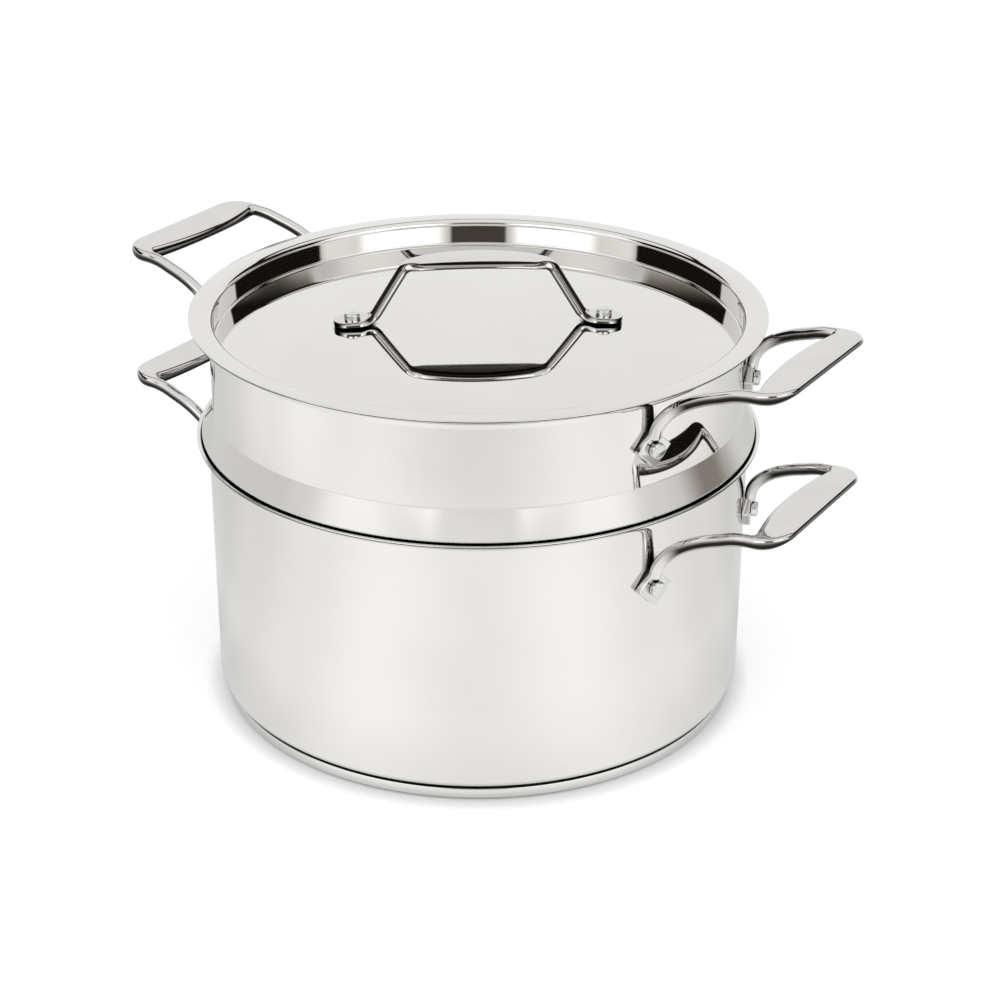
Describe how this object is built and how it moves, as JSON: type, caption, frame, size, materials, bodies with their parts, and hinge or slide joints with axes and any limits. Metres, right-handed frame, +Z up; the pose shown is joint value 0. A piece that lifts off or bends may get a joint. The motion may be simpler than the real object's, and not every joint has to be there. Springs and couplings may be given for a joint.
{
  "type": "stockpot with strainer insert",
  "caption": "Polished steel stockpot with a lift-out strainer insert that rests on its lip, a sunk lid and riveted loop handles.",
  "frame": {"origin": "on the floor under the middle of the pot", "axes": "+Z up, +X towards the right side handles"},
  "size_m": [0.3546, 0.2628, 0.2106],
  "materials": {
    "pot_steel": "mirror-polished stainless steel",
    "insert_steel": "mirror-polished stainless steel",
    "lid_steel": "mirror-polished stainless steel",
    "handle_steel": "polished cast stainless steel",
    "rivet_steel": "polished stainless steel",
    "core_aluminium": "plain aluminium disc inside the base"
  },
  "bodies": {
    "pot": {"pot_shell": "pot_steel", "base_core": "core_aluminium", "base_cap": "pot_steel", "pot_handle_right": "handle_steel", "pot_handle_left": "handle_steel", "pot_rivet_right_front": "rivet_steel", "pot_rivet_right_back": "rivet_steel", "pot_rivet_left_front": "rivet_steel", "pot_rivet_left_back": "rivet_steel"},
    "insert": {"insert_basket": "insert_steel", "insert_handle_right": "handle_steel", "insert_handle_left": "handle_steel", "insert_rivet_right_front": "rivet_steel", "insert_rivet_right_back": "rivet_steel", "insert_rivet_left_front": "rivet_steel", "insert_rivet_left_back": "rivet_steel"},
    "lid": {"lid_pan": "lid_steel", "lid_handle": "handle_steel", "lid_rivet_right": "rivet_steel", "lid_rivet_left": "rivet_steel"}
  },
  "joints": [
    {"name": "insert_lift", "type": "slide", "parent": "pot", "child": "insert", "axis": [0, 0, 1], "range_m": [0, 0.16]},
    {"name": "lid_lift", "type": "slide", "parent": "insert", "child": "lid", "axis": [0, 0, 1], "range_m": [0, 0.08]}
  ]
}
